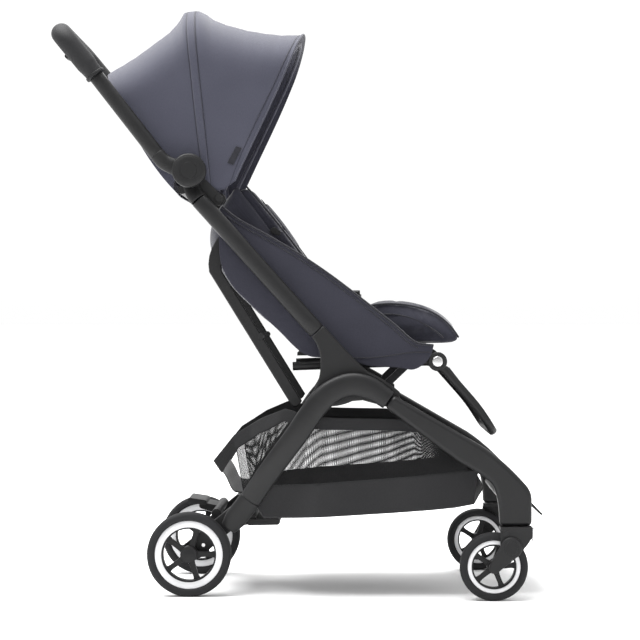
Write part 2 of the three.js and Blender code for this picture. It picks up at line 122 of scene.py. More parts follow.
def hard(name, colour, roughness, grain=900.0, relief=0.12, metallic=0.0, wear=0.35):
    """Powder coat, moulded plastic or satin paint: fine grain, faint dust, paler edges."""
    made, tree, shader = start(name)
    where = add_node(tree, "ShaderNodeTexCoord").outputs["Object"]
    fine = add_node(tree, "ShaderNodeTexNoise", {"Vector": where, "Scale": grain, "Detail": 2.0}).outputs[0]
    cloudy = add_node(tree, "ShaderNodeTexNoise", {"Vector": where, "Scale": 22.0, "Detail": 4.0}).outputs[0]
    edge = add_node(tree, "ShaderNodeNewGeometry").outputs["Pointiness"]
    worn = maths(tree, "MULTIPLY", spread(tree, edge, 0.53, 0.62), wear)
    dusty = maths(tree, "MULTIPLY", spread(tree, cloudy, 0.35, 0.75), 0.18)
    paler = tuple(c * 1.8 + 0.006 for c in colour)
    colour_out = mix_colour(tree, maths(tree, "ADD", worn, dusty), colour, paler)
    tree.links.new(colour_out, shader.inputs["Base Color"])
    rough = spread(tree, cloudy, 0.3, 0.7, roughness - 0.05, roughness + 0.06)
    tree.links.new(rough, shader.inputs["Roughness"])
    shader.inputs["Metallic"].default_value = metallic
    shader.inputs["Specular IOR Level"].default_value = 0.5 if metallic else 0.27
    bump(tree, shader, fine, relief, 0.0003)
    return made


def fabric(name, dark, light, across=None, along=None, pitch=1.1, roughness=0.85, relief=0.35, sheen=0.25):
    """A plain weave with a heathered yarn. Across and along are directions; without them it follows the UVs."""
    made, tree, shader = start(name)
    coords = add_node(tree, "ShaderNodeTexCoord")
    if across is None:
        parts = add_node(tree, "ShaderNodeSeparateXYZ", {0: coords.outputs["UV"]})
        u, v = parts.outputs[0], parts.outputs[1]
    else:
        u, v = (
            add_node(tree, "ShaderNodeVectorMath", {0: coords.outputs["Object"], 1: axis},
                     operation="DOT_PRODUCT").outputs["Value"]
            for axis in (across, along)
        )
    turn = 2 * math.pi / (pitch * MM)
    warp = maths(tree, "SINE", maths(tree, "MULTIPLY", u, turn))
    weft = maths(tree, "SINE", maths(tree, "MULTIPLY", v, turn))
    weave = maths(tree, "ADD", maths(tree, "MULTIPLY", warp, weft), 1.0)
    threads = []
    for stretch in ((2600.0, 260.0), (260.0, 2600.0)):
        place = add_node(tree, "ShaderNodeCombineXYZ", {
            0: maths(tree, "MULTIPLY", u, stretch[0]), 1: maths(tree, "MULTIPLY", v, stretch[1])}).outputs[0]
        noisy = add_node(tree, "ShaderNodeTexNoise", {"Vector": place, "Scale": 1.0, "Detail": 1.0})
        threads.append(noisy.outputs[0])
    heather = maths(tree, "MULTIPLY", maths(tree, "ADD", *threads), 0.5)
    broad = add_node(tree, "ShaderNodeTexNoise", {"Vector": coords.outputs["Object"], "Scale": 9.0}).outputs[0]
    share = maths(tree, "ADD", spread(tree, heather, 0.36, 0.64, 0.0, 0.7), spread(tree, broad, 0.3, 0.7, 0.0, 0.3))
    tree.links.new(mix_colour(tree, share, dark, light), shader.inputs["Base Color"])
    shader.inputs["Roughness"].default_value = roughness
    shader.inputs["Specular IOR Level"].default_value = 0.25
    shader.inputs["Sheen Weight"].default_value = sheen
    shader.inputs["Sheen Roughness"].default_value = 0.5
    height = maths(tree, "ADD", maths(tree, "MULTIPLY", weave, 0.35), maths(tree, "MULTIPLY", heather, 0.5))
    bump(tree, shader, height, relief, 0.0004)
    return made


COAT = hard("coat", (0.0075, 0.0075, 0.008), 0.44, wear=0.25)
MOULDED = hard("moulded", (0.0068, 0.0068, 0.0072), 0.48, grain=1400, relief=0.2, wear=0.25)
DULL = hard("dull_plastic", (0.0055, 0.0055, 0.006), 0.55, grain=1400, relief=0.2, wear=0.25)
GRIP = hard("grip_rubber", (0.010, 0.010, 0.011), 0.62, grain=700, relief=0.5, wear=0.1)
TYRE = hard("tyre_foam", (0.010, 0.010, 0.011), 0.72, grain=1100, relief=0.4, wear=0.2)
SILVER = hard("satin_silver", (0.55, 0.55, 0.56), 0.36, grain=1600, relief=0.05, metallic=0.25, wear=0.1)
STEEL = hard("bright_rivet", (0.5, 0.5, 0.5), 0.25, relief=0.03, metallic=0.9, wear=0.1)
HOOD = fabric("hood_cloth", (0.030, 0.031, 0.047), (0.055, 0.056, 0.078), pitch=1.0)
LINING_YARNS = (0.026, 0.026, 0.039), (0.046, 0.046, 0.066)
LINING = fabric("hood_lining", *LINING_YARNS, pitch=1.0)
SLEEVE = fabric("bow_sleeve", *LINING_YARNS, (0, 1, 0), (0.6, 0, 0.8))
SEAM = fabric("hood_seam", (0.013, 0.013, 0.021), (0.022, 0.022, 0.033), pitch=0.8)
SEAT_YARNS = (0.014, 0.014, 0.022), (0.027, 0.027, 0.040)
NAVY = fabric("seat_cloth", *SEAT_YARNS, (0, 1, 0), (0.77, 0, 0.64))
PANEL = fabric("panel_cloth", *SEAT_YARNS, (0.8, 0, 0.6), (-0.6, 0, 0.8))
PIPING = fabric("piping", (0.008, 0.008, 0.012), (0.016, 0.016, 0.022), (0.8, 0, 0.6), (0, 1, 0), pitch=0.8)
WEBBING = fabric("webbing", (0.006, 0.006, 0.007), (0.014, 0.014, 0.016), (0, 1, 0), (0.6, 0, 0.8), pitch=2.0)
BASKET_CLOTH = fabric("basket_cloth", (0.007, 0.007, 0.008), (0.017, 0.017, 0.018), (1, 0, 0), (0, 0.6, 0.8))
NET = fabric("basket_net", (0.008, 0.008, 0.0085), (0.02, 0.02, 0.021), (1, 0, 0), (0, 0.6, 0.8), pitch=0.6, sheen=0)


# ---- Mesh helpers ----


def new_object(name, mesh, material):
    made = bpy.data.objects.new(name, mesh)
    bpy.context.scene.collection.objects.link(made)
    for m in material if isinstance(material, (list, tuple)) else [material]:
        mesh.materials.append(m)
    return made


def from_bmesh(name, bm, material, sharp=40.0):
    """Turns bm into an object with smooth faces and sharp edges above an angle."""
    bm.normal_update()
    for face in bm.faces:
        face.smooth = True
    for edge in bm.edges:
        edge.smooth = len(edge.link_faces) != 2 or edge.calc_face_angle(0.0) < math.radians(sharp)
    mesh = bpy.data.meshes.new(name)
    bm.to_mesh(mesh)
    bm.free()
    return new_object(name, mesh, material)


def stand_for(obj, node):
    """Puts obj in the place of a CAD node: on its body, with the node hidden."""
    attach(obj, BODY_OF[node])
    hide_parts(node)


def with_body(obj, body):
    """Adds obj beside the CAD nodes of a body."""
    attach(obj, body)


def modify(obj, kind, **settings):
    made = obj.modifiers.new(kind.title(), kind)
    for key, value in settings.items():
        setattr(made, key, value)
    return made


def ease(obj, width, segments=2, angle=40.0):
    modify(obj, "BEVEL", width=width * MM, segments=segments, limit_method="ANGLE",
           angle_limit=math.radians(angle), harden_normals=True)
    return obj


def finer(node, material, width=0.8, segments=2, angle=40.0):
    """The CAD node's own shape with eased edges and smooth faces."""
    bm = bmesh.new()
    bm.from_mesh(frame["nodes"][node].data)
    bmesh.ops.remove_doubles(bm, verts=bm.verts, dist=2e-6)
    bmesh.ops.dissolve_limit(bm, angle_limit=math.radians(0.8), verts=bm.verts, edges=bm.edges)
    obj = from_bmesh(f"{node}_skin", bm, material, angle)
    if width:
        ease(obj, width, segments, angle)
    stand_for(obj, node)


def curve_through(points, per_span=10):
    """A centripetal Catmull-Rom curve through points."""
    points = [np.array(p, float) for p in points]
    points = [2 * points[0] - points[1], *points, 2 * points[-1] - points[-2]]
    out = []
    for p0, p1, p2, p3 in zip(points, points[1:], points[2:], points[3:]):
        t1 = np.linalg.norm(p1 - p0) ** 0.5
        t2 = t1 + np.linalg.norm(p2 - p1) ** 0.5
        t3 = t2 + np.linalg.norm(p3 - p2) ** 0.5
        for t in np.linspace(t1, t2, per_span, endpoint=False):
            a1 = (t1 - t) / t1 * p0 + t / t1 * p1
            a2 = (t2 - t) / (t2 - t1) * p1 + (t - t1) / (t2 - t1) * p2
            a3 = (t3 - t) / (t3 - t2) * p2 + (t - t2) / (t3 - t2) * p3
            b1 = (t2 - t) / t2 * a1 + t / t2 * a2
            b2 = (t3 - t) / (t3 - t1) * a2 + (t - t1) / (t3 - t1) * a3
            out.append((t2 - t) / (t2 - t1) * b1 + (t - t1) / (t2 - t1) * b2)
    return [*out, points[-2]]


def rounded(corners, radius, pieces=8):
    """A polyline whose inner corners are rounded."""
    corners = [np.array(c, float) for c in corners]
    out = [corners[0]]
    for a, b, c in zip(corners, corners[1:], corners[2:]):
        reach = min(radius, np.linalg.norm(a - b) / 2.1, np.linalg.norm(c - b) / 2.1)
        start_at = b + (a - b) / np.linalg.norm(a - b) * reach
        end_at = b + (c - b) / np.linalg.norm(c - b) * reach
        for t in np.linspace(0, 1, pieces + 1):
            out.append((1 - t) ** 2 * start_at + 2 * t * (1 - t) * b + t * t * end_at)
    return [*out, corners[-1]]


def quadratic(shape):
    """An outline from ("L", x, z) and ("Q", cx, cz, x, z) steps."""
    out = [np.array(shape[0][1:], float)]
    for step in shape[1:]:
        if step[0] == "L":
            out.append(np.array(step[1:], float))
        else:
            a, c, b = out[-1], np.array(step[1:3], float), np.array(step[3:5], float)
            for t in np.linspace(0, 1, 13)[1:]:
                out.append((1 - t) ** 2 * a + 2 * t * (1 - t) * c + t * t * b)
    return [tuple(p) for p in out]


def tube(name, route, wide, thick, material, sides=32, power=2.0):
    """A bar along route, in millimetres: wide in the side view, thick across it, with rounded end caps.
    wide and thick are numbers, or functions of the share along the route."""
    route = [np.array(p, float) for p in route]
    n = len(route)
    normal = None
    rings = []
    for i, p in enumerate(route):
        tangent = route[min(i + 1, n - 1)] - route[max(i - 1, 0)]
        tangent /= np.linalg.norm(tangent)
        if normal is None:
            normal = np.cross(tangent, (0, 1, 0))
            if np.linalg.norm(normal) < 0.3:
                normal = np.cross(tangent, (0, 0, 1))
        normal = normal - tangent * normal.dot(tangent)
        normal /= np.linalg.norm(normal)
        rings.append((p, tangent, normal, np.cross(tangent, normal), i / (n - 1)))
    size = lambda s, share: s(share) if callable(s) else s
    bm = bmesh.new()
    loops = []

    def ring(index, shrink, shift):
        p, tangent, a, b, share = rings[index]
        w, h = size(wide, share) / 2 - shrink, size(thick, share) / 2 - shrink
        loop = []
        for k in range(sides):
            angle = 2 * math.pi * k / sides
            c, s = math.cos(angle), math.sin(angle)
            c = math.copysign(abs(c) ** (2 / power), c)
            s = math.copysign(abs(s) ** (2 / power), s)
            q = p + tangent * shift + a * w * c + b * h * s
            loop.append(bm.verts.new(q * MM))
        loops.append(loop)

    soft = 1.2  # the radius of the end rims
    ring(0, soft, 0)
    ring(0, 0.35 * soft, 0.3 * soft)
    ring(0, 0, soft)
    for i in range(1, n - 1):
        ring(i, 0, 0)
    ring(n - 1, 0, -soft)
    ring(n - 1, 0.35 * soft, -0.3 * soft)
    ring(n - 1, soft, 0)
    for one, two in zip(loops, loops[1:]):
        for k in range(sides):
            bm.faces.new((one[k], one[(k + 1) % sides], two[(k + 1) % sides], two[k]))
    bm.faces.new(loops[0][::-1])
    bm.faces.new(loops[-1])
    bmesh.ops.recalc_face_normals(bm, faces=bm.faces)
    return from_bmesh(name, bm, material)


def plate(name, outline, y0, y1, material, width=1.0, segments=3, angle=50.0):
    """A side-view outline extruded across, with eased rims."""
    bm = bmesh.new()
    near = [bm.verts.new((x * MM, y0 * MM, z * MM)) for x, z in outline]
    far = [bm.verts.new((x * MM, y1 * MM, z * MM)) for x, z in outline]
    bm.faces.new(near)
    bm.faces.new(far[::-1])
    n = len(outline)
    for k in range(n):
        bm.faces.new((near[k], far[k], far[(k + 1) % n], near[(k + 1) % n]))
    bmesh.ops.recalc_face_normals(bm, faces=bm.faces)
    obj = from_bmesh(name, bm, material, angle)
    return ease(obj, width, segments, angle)


def lathe(bm, profile, x, y, z, segments=96):
    """Turns [radius, y] pairs about an axis parallel to Y; a closed profile makes a ring."""
    closed = profile[0] == profile[-1]
    pairs = profile[:-1] if closed else profile
    rings = []
    for r, h in pairs:
        if r < 1e-6:
            rings.append([bm.verts.new((x * MM, (y + h) * MM, z * MM))])
        else:
            rings.append([
                bm.verts.new(((x + r * math.cos(a)) * MM, (y + h) * MM, (z + r * math.sin(a)) * MM))
                for a in (2 * math.pi * k / segments for k in range(segments))])
    spans = list(zip(rings, rings[1:])) + ([(rings[-1], rings[0])] if closed else [])
    for one, two in spans:
        for k in range(segments):
            a, b = one[k % len(one)], one[(k + 1) % len(one)]
            c, d = two[(k + 1) % len(two)], two[k % len(two)]
            corners = list(dict.fromkeys((a, b, c, d)))
            if len(corners) > 2:
                bm.faces.new(corners)


def turned(name, profile, x, y, z, material, segments=96, sharp=35.0, side=1):
    """A turned part; with side -1 its profile is mirrored across the axis."""
    bm = bmesh.new()
    lathe(bm, [(r, side * h) for r, h in profile], x, y, z, segments)
    bmesh.ops.recalc_face_normals(bm, faces=bm.faces)
    return from_bmesh(name, bm, material, sharp)


def sheet_mesh(name, rows, material):
    """A grid of points in millimetres, with UVs in metres along both directions."""
    rows = np.array(rows, float)
    m, n = rows.shape[:2]
    bm = bmesh.new()
    uv = bm.loops.layers.uv.new("UVMap")
    verts = [[bm.verts.new(p * MM) for p in row] for row in rows]
    mid = rows[m // 2]
    along_v = np.concatenate([[0], np.cumsum(np.linalg.norm(np.diff(mid, axis=0), axis=1))]) * MM
    centre = rows[:, n // 2]
    along_u = np.concatenate([[0], np.cumsum(np.linalg.norm(np.diff(centre, axis=0), axis=1))]) * MM
    for i in range(m - 1):
        for k in range(n - 1):
            face = bm.faces.new((verts[i][k], verts[i][k + 1], verts[i + 1][k + 1], verts[i + 1][k]))
            for loop, (a, b) in zip(face.loops, ((i, k), (i, k + 1), (i + 1, k + 1), (i + 1, k))):
                loop[uv].uv = (along_u[a], along_v[b])
    return from_bmesh(name, bm, material, 75.0)


def solidify(obj, thickness, offset=-1.0):
    modify(obj, "SOLIDIFY", thickness=thickness * MM, offset=offset)
    return obj


def smoothstep(a, b, x):
    t = min(max((x - a) / (b - a), 0.0), 1.0)
    return t * t * (3 - 2 * t)


# ---- Frame ----


def rear_leg(tag, side):
    route = curve_through([
        (161.5, LEG_Y, 350.5), (131, LEG_Y, 370.5), (97, LEG_Y, 378), (63, LEG_Y, 366),
        (38, LEG_Y, 343), (0, 196, 289), (-44, 180, 229), (-82, 153.4, 172.9)], 12)
    route = [p * (1, side, 1) for p in route]
    wide = lambda t: 34 + 7 * smoothstep(0.0, 0.2, t) - 2 * smoothstep(0.55, 1.0, t)
    leg = tube(f"rear_leg_{tag}_skin", route, wide, 20.6, COAT, 40, 2.3)
    stand_for(leg, f"rear_leg_{tag}")
    sleeve_route = curve_through([(-82.4, 153.1, 172.3), (-98, 147, 152), (-112, 141, 134), (-122, 137, 121)], 6)
    sleeve_route = [p * (1, side, 1) for p in sleeve_route]
    sleeve = tube(f"rear_sleeve_{tag}", sleeve_route, lambda t: 39.6 - 9 * smoothstep(0.55, 1, t),
                  lambda t: 21 + 4 * t, MOULDED, 36, 2.4)
    with_body(sleeve, "rear_frame")
    arm = rounded([(-120, 156), (-99, 150), (-95, 134), (-180, 60), (-203, 62), (-208, 84), (-120, 156)], 12, 6)[1:]
    bracket = plate(f"rear_bracket_{tag}_skin", arm, side * 112, side * 131, MOULDED, 2.2, 3, 35)
    stand_for(bracket, f"rear_bracket_{tag}")
    finer(f"brake_pin_{tag}", STEEL, 0.4)


def front_leg(tag, side):
    shape = quadratic([
        ("M", 169.5, 360.5), ("L", 325, 271), ("Q", 362, 247, 399, 206), ("Q", 412.5, 192, 412.5, 176),
        ("L", 412.5, 130.5), ("L", 356, 130.5), ("Q", 355, 185, 343, 203), ("Q", 330, 218, 285, 242),
        ("L", 154.6, 338.6)])
    leg = plate(f"front_leg_{tag}_skin", shape, side * 188.3, side * 210.3, COAT, 8.5, 6, 50)
    stand_for(leg, f"front_leg_{tag}")
    lug = rounded([(98, 389), (190, 350), (190, 330), (98, 355), (82, 372), (98, 389)], 10, 5)
    lug = plate(f"front_lug_{tag}", lug[1:], side * 185.8, side * 189.2, MOULDED, 0.5, 1)
    with_body(lug, "front_frame")


def main_frame(tag, side):
    y = side * TUBE_Y
    main = tube(f"main_tube_{tag}_skin", [(-172.4 + 208 * t, y, 703 - 231.6 * t) for t in np.linspace(0, 1, 12)],
                30, 23.4, COAT, 36, 2.2)
    stand_for(main, f"main_tube_{tag}")
    shape = quadratic([
        ("M", 25.6, 461.2), ("Q", 45, 443, 42, 405), ("Q", 40, 372, 14, 347), ("Q", 60, 330, 98, 348),
        ("Q", 140, 352, 182, 352), ("L", 182, 364), ("Q", 160, 384, 126, 400), ("Q", 98, 424, 47.6, 481.5)])
    yoke = plate(f"junction_{tag}_skin", shape, side * 161, side * 184.8, MOULDED, 8.0, 6, 50)
    stand_for(yoke, f"junction_{tag}")
    x, z = DISC
    disc = [(0, 160), (28, 160), (29, 161), (29, 172.7), (0, 172.7)]
    disc = turned(f"hinge_socket_{tag}_skin", disc, x, 0, z, MOULDED, 72, 30, side)
    stand_for(disc, f"hinge_socket_{tag}")
    route = curve_through([
        (-188, 166.4, 744), (-186.5, 166.8, 728), (-181, 169.5, 714.5), (-172.6, TUBE_Y, 703.3)], 8)
    neck = tube(f"hinge_neck_{tag}", [p * (1, side, 1) for p in route], lambda t: 27 + 3.4 * t,
                lambda t: 12.4 + 11.4 * smoothstep(0.25, 1, t), MOULDED, 36, 2.2)
    with_body(neck, "main_frame")
    lug = rounded([(-138, 694), (-127, 706), (-138, 717), (-170, 748), (-187, 738), (-184, 726), (-148, 695),
                   (-138, 694)], 9, 5)
    lug = plate(f"hood_lug_{tag}", lug[1:], side * 159.6, side * 162.6, MOULDED, 1.0, 2)
    with_body(lug, "main_frame")
    x, z = CANOPY_PIVOT
    pin = [(0, 131), (4.4, 131), (5.1, 131.8), (5.1, 162.8), (6.8, 163.2), (6.2, 164.4), (0, 164.6)]
    pin = turned(f"hood_pin_{tag}", pin, x, 0, z, MOULDED, 40, 30, side)
    with_body(pin, "main_frame")
    handle = tube(f"handle_tube_{tag}_skin",
                  [(-246 - 110 * t, y, 783 + 141.4 * t) for t in np.linspace(0, 1, 10)], 27, 23.5, COAT, 36, 2.2)
    stand_for(handle, f"handle_tube_{tag}")
    x, z = DISC
    drum = [(0, 173.2), (29.4, 173.2), (30, 173.8), (30, 189.6), (29.2, 192.4), (27.2, 193.9), (0, 194)]
    drum = turned(f"hinge_elbow_{tag}_skin", drum, x, 0, z, MOULDED, 96, 40, side)
    stand_for(drum, f"hinge_elbow_{tag}")
    route = curve_through([(-203, 180.5, 757), (-219, 178.5, 762.5), (-234, 175, 770.5), (-246.2, TUBE_Y, 783.2)], 8)
    arm = tube(f"hinge_arm_{tag}", [p * (1, side, 1) for p in route], lambda t: 27.4 + 2.2 * (1 - t),
               lambda t: 14 + 9.8 * smoothstep(0.2, 1, t), MOULDED, 36, 2.2)
    with_body(arm, "handle")
    cap = [(0, 0.9), (13.2, 0.9), (13.9, 0.8), (14.3, 0.45), (15.1, 0.45), (15.5, 0.8), (16.2, 0.9), (23.6, 0.8),
           (24.6, 0.3), (25, -1.4), (0, -1.4)]
    cap = turned(f"hinge_cap_{tag}", cap, x, side * 194, z, DULL, 72, 30, side)
    with_body(cap, "handle")


def bow_route(angle, reach, half):
    turn = math.radians(angle)
    """From eye to eye: straight legs, then an arch. The angle is about the hood's pivot, in the side view."""
    eye, straight, steps = 9.0, 0.62 * reach, 40
    put = lambda r, y: (CANOPY_PIVOT[0] + r * math.cos(turn), y, CANOPY_PIVOT[1] + r * math.sin(turn))
    turns = [math.pi * i / steps for i in range(steps + 1)]
    arch = [put(straight + (reach - straight) * math.sin(a) ** 0.8, -half * math.cos(a)) for a in turns]
    return [put(eye, -half), *arch, put(eye, half)]


def canopy_bows():
    eye = [(5.4, -3.3), (10.2, -3.3), (11, -2.5), (11, 2.5), (10.2, 3.3), (5.4, 3.3), (5.4, -3.3)]
    x, z = CANOPY_PIVOT
    for name, angle, reach, half, cover in (("rear", 124.4, 285, 150.4, COAT), ("mid", 98.5, 349, 142.4, SLEEVE),
                                            ("front", 64.4, 326, 134.4, SLEEVE)):
        wire = tube(f"canopy_bow_{name}_skin", bow_route(angle, reach, half), 6.4, 6.4, cover, 14)
        stand_for(wire, f"canopy_bow_{name}")
        for tag, side in SIDES:
            ring = turned(f"bow_eye_{name}_{tag}", eye, x, side * half, z, MOULDED, 40)
            with_body(ring, BODY_OF[f"canopy_bow_{name}"])


def handle_bar():
    half = [(-356.4, -TUBE_Y, 924.9), (-376, -TUBE_Y, 949), (-419, -TUBE_Y, 1001)]
    other = [(x, -y, z) for x, y, z in half[::-1]]
    route = rounded([*half, *other], 36, 14)
    steps = [route[0] + (route[1] - route[0]) * t for t in (0.25, 0.5, 0.75)]
    route = [route[0], *steps, *route[1:]]
    bar = tube("grip_skin", route, lambda t: 36.6 - 4.6 * smoothstep(0.12, 0, min(t, 1 - t)),
               lambda t: 35 - 3 * smoothstep(0.12, 0, min(t, 1 - t)), GRIP, 36)
    stand_for(bar, "grip")
    for tag, side in SIDES:
        ends = [(-353.6, side * TUBE_Y, 921.3), (-357.6, side * TUBE_Y, 926.4)]
        lip = tube(f"grip_collar_{tag}", ends, 36.2, 35.0, DULL, 36)
        with_body(lip, "handle")
    finer("fold_button", DULL, 1.2, 3)


def wheel(tag, side, which):
    spec = FRONT_WHEEL if which == "front" else REAR_WHEEL
    x, y, z = spec["x"], side * spec["y"], spec["z"]
    half, radius, rim, inner = spec["width"] / 2, spec["radius"], spec["rim"], spec["inner"]
    body = f"{which}_wheel_{tag}"
    profile = [(rim - 0.2, -half + 3.2), (rim + 1.0, -half + 1.4), (rim + 3.5, -half + 0.3), (radius - 6, -half),
               (radius - 2.8, -half + 1.2), (radius - 0.9, -half + 3.6), (radius, -half + 6.5)]
    groove = [(radius, -4.2), (radius - 0.8, -3.9), (radius - 0.8, -3.1), (radius, -2.8)]
    right = [(r, -h) for r, h in reversed(profile)]
    grooves = [(r, -h) for r, h in reversed(groove)]
    outline = [*profile, *groove, *grooves, *right, profile[0]]
    tyre = turned(f"{which}_tyre_{tag}_skin", outline, x, y, z, TYRE, 120, 50)
    stand_for(tyre, f"{which}_tyre_{tag}")
    depth = half - 2.4
    bm = bmesh.new()
    for turn in (-1, 1):
        face = [(inner + 0.8, turn * (depth - 0.6)), (inner + 1.8, turn * depth), (rim - 1.4, turn * depth),
                (rim - 0.3, turn * (depth - 0.7)), (rim - 0.3, turn * (depth - 3)), (inner + 0.8, turn * (depth - 3)),
                (inner + 0.8, turn * (depth - 0.6))]
        lathe(bm, face, x, y, z, 120)
    bmesh.ops.recalc_face_normals(bm, faces=bm.faces)
    band = from_bmesh(f"{which}_band_{tag}", bm, SILVER, 35)
    with_body(band, body)
    bm = bmesh.new()
    lip = inner + 0.75
    barrel = [(inner - 2.2, -depth + 2.4), (inner, -depth + 1.2), (lip, -depth + 1.2), (lip, -depth + 3.1),
              (rim - 0.4, -depth + 3.1), (rim - 0.4, depth - 3.1), (lip, depth - 3.1), (lip, depth - 1.2),
              (inner, depth - 1.2), (inner - 2.2, depth - 2.4), (inner - 2.2, -depth + 2.4)]
    lathe(bm, barrel, x, y, z, 96)
    hub = spec["hub"]
    cap = [(0, -half + 0.6), (hub * 0.55, -half + 0.7), (hub * 0.62, -half + 1.4), (hub * 0.92, -half + 1.6),
           (hub, -half + 2.8), (hub, half - 2.8), (hub * 0.92, half - 1.6), (hub * 0.62, half - 1.4),
           (hub * 0.55, half - 0.7), (0, half - 0.6)]
    lathe(bm, cap, x, y, z, 64)
    bmesh.ops.recalc_face_normals(bm, faces=bm.faces)
    core = from_bmesh(f"{which}_rim_{tag}_skin", bm, DULL, 35)
    stand_for(core, f"{which}_rim_{tag}")
    width = spec["spokes"]
    for i in range(5):
        turn = 2 * math.pi * (i + (-0.05 if which == "front" else 0)) / 5
        c, s = math.cos(turn), -math.sin(turn)
        bm = bmesh.new()
        rings = []
        for r, w, h in ((hub * 0.8, width * 0.62, 5.6), (hub + 4, width * 0.5, 5.2), (inner - 9, width * 0.46, 4.4),
                        (inner - 1.5, width * 0.62, 4.8)):
            ring = []
            for a, b in ((-1, -1), (1, -1), (1, 1), (-1, 1)):
                ring.append(bm.verts.new(point(x + r * c - a * w * s, y + b * h, z + r * s + a * w * c)))
            rings.append(ring)
        for one, two in zip(rings, rings[1:]):
            for k in range(4):
                bm.faces.new((one[k], one[(k + 1) % 4], two[(k + 1) % 4], two[k]))
        bm.faces.new(rings[0])
        bm.faces.new(rings[-1][::-1])
        bmesh.ops.recalc_face_normals(bm, faces=bm.faces)
        spoke = from_bmesh(f"{which}_spoke_{tag}_{i}", bm, DULL, 40)
        ease(spoke, 1.1, 3, 50)
        with_body(spoke, body)


def casters(tag, side):
    finer(f"caster_{tag}", MOULDED, 1.0, 2)
    finer(f"swing_arm_{tag}", MOULDED, 1.4, 3)
    finer(f"swivel_lock_{tag}", STEEL, 0.5)
    cap = [(0, 1.2), (9.6, 1.2), (10.6, 0.6), (12.2, 0.5), (12.8, -0.3), (12.8, -1.6), (0, -1.6)]
    cap = turned(f"arm_pivot_{tag}", cap, 375, side * 223.9, 94, DULL, 56, 30, side)
    with_body(cap, f"swing_arm_{tag}")


for tag, side in SIDES:
    rear_leg(tag, side)
    front_leg(tag, side)
    main_frame(tag, side)
    casters(tag, side)
    wheel(tag, side, "front")
    wheel(tag, side, "rear")
    finer(f"back_strut_{tag}", MOULDED, 1.6, 3)
    finer(f"seat_link_{tag}", WEBBING, 0.8)
canopy_bows()
handle_bar()
finer("front_cross_tube", MOULDED, 0.6, 2)
finer("rear_cross_tube", MOULDED, 0.8, 2)
finer("brake_pedal", MOULDED, 0.8, 2)
finer("back_brace", COAT, 0)
finer("seat_frame", COAT, 0.6, 2)
finer("seat_board", DULL, 0.8)
finer("buckle", DULL, 2.0, 3)
finer("buckle_button", MOULDED, 1.0, 3)
finer("leg_rest_bar", COAT, 0.6, 2)
for tag, side in SIDES:
    x, z = SEAT_FRONT
    rivet = [(0, 2.2), (6.8, 2.0), (9.0, 1.3), (9.6, 0.4), (9.6, -2), (0, -2)]
    rivet = turned(f"seat_rivet_{tag}", rivet, x, side * 155.2, z, STEEL, 56, 40, side)
    with_body(rivet, "seat")
    boss = [(0, 0.4), (10.2, 0.4), (11, 1.2), (15.6, 1.0), (17, -0.2), (17, -5), (0, -5)]
    boss = turned(f"seat_boss_{tag}", boss, x, side * 154.4, z, MOULDED, 56, 35, side)
    with_body(boss, "seat")


# ---- Hood ----

HOOD_CROWN = [
    (-346.5, 944), (-321.6, 958.4), (-297.9, 973.8), (-274.3, 991.6), (-250.5, 1009.2), (-236.4, 1020),
    (-222, 1035.4), (-215, 1046), (-209, 1056.6), (-195, 1058.5), (-182, 1059.7), (-168, 1053), (-156, 1043.6),
    (-132, 1034), (-109, 1028), (-92, 1023.4), (-60, 1018), (-30, 1014.8), (4.3, 1014.8), (12, 1017.5)]
HOOD_ANGLES = (64.3, 131.8)  # front hem and rear edge, about the hood's pivot
HOOD_FEET = ((0, 0.25, 0.5, 0.75, 1), (-110, -130, -151, -176, -206), (737, 722, 719, 731, 756))
HOOD_POLAR = sorted((math.degrees(math.atan2(z - CANOPY_PIVOT[1], x - CANOPY_PIVOT[0])),
                     math.hypot(x - CANOPY_PIVOT[0], z - CANOPY_PIVOT[1])) for x, z in HOOD_CROWN)
CREST = (0.447, 0.549)  # the shares of the hood between which it follows the raised crest
HOOD_HALF = 158.2  # half the hood's width
SIDE_SHARE, SIDE_RISE = 0.3, 0.66  # how much of the cloth hangs down each side, and how far up that reaches


def hood_point(t, share, lift=0.0):
    """t runs from the front hem, 0, to the rear edge, 1. share runs from the right foot, 0, over the crown,
    to the left foot, 1."""
    angles, reaches = zip(*HOOD_POLAR)
    angle = HOOD_ANGLES[0] + (HOOD_ANGLES[1] - HOOD_ANGLES[0]) * t
    reach = float(np.interp(angle, angles, reaches)) + lift
    turn = math.radians(angle)
    crown = np.array((CANOPY_PIVOT[0] + reach * math.cos(turn), CANOPY_PIVOT[1] + reach * math.sin(turn)))
    foot = np.array([np.interp(t, HOOD_FEET[0], HOOD_FEET[k]) for k in (1, 2)])
    half = HOOD_HALF + lift
    edge = min(share, 1 - share)
    slack = math.sin(math.pi * smoothstep(CREST[1], 1, t)) + math.sin(math.pi * (1 - smoothstep(0, CREST[0], t)))
    if edge < SIDE_SHARE:
        s = edge / SIDE_SHARE
        y = half - 1.0 * slack * math.sin(math.pi * s) - 1.2 * s
        up = SIDE_RISE * s
    else:
        bend = math.pi / 2 * (edge - SIDE_SHARE) / 0.2
        y = (half - 1.2) * math.cos(bend)
        up = SIDE_RISE + 0.34 * math.sin(bend) ** 0.78
    x, z = foot + (crown - foot) * up
    x += 6 * max(0.0, 1 - t / 0.32) ** 2 * math.sin(math.pi * up ** 1.4)
    rear = 14 * max(0.0, 1 - (1 - t) / 0.3) ** 2 * math.sin(math.pi * up)
    x, z = x - 0.79 * rear, z - 0.61 * rear
    return x, math.copysign(y, share - 0.5), z


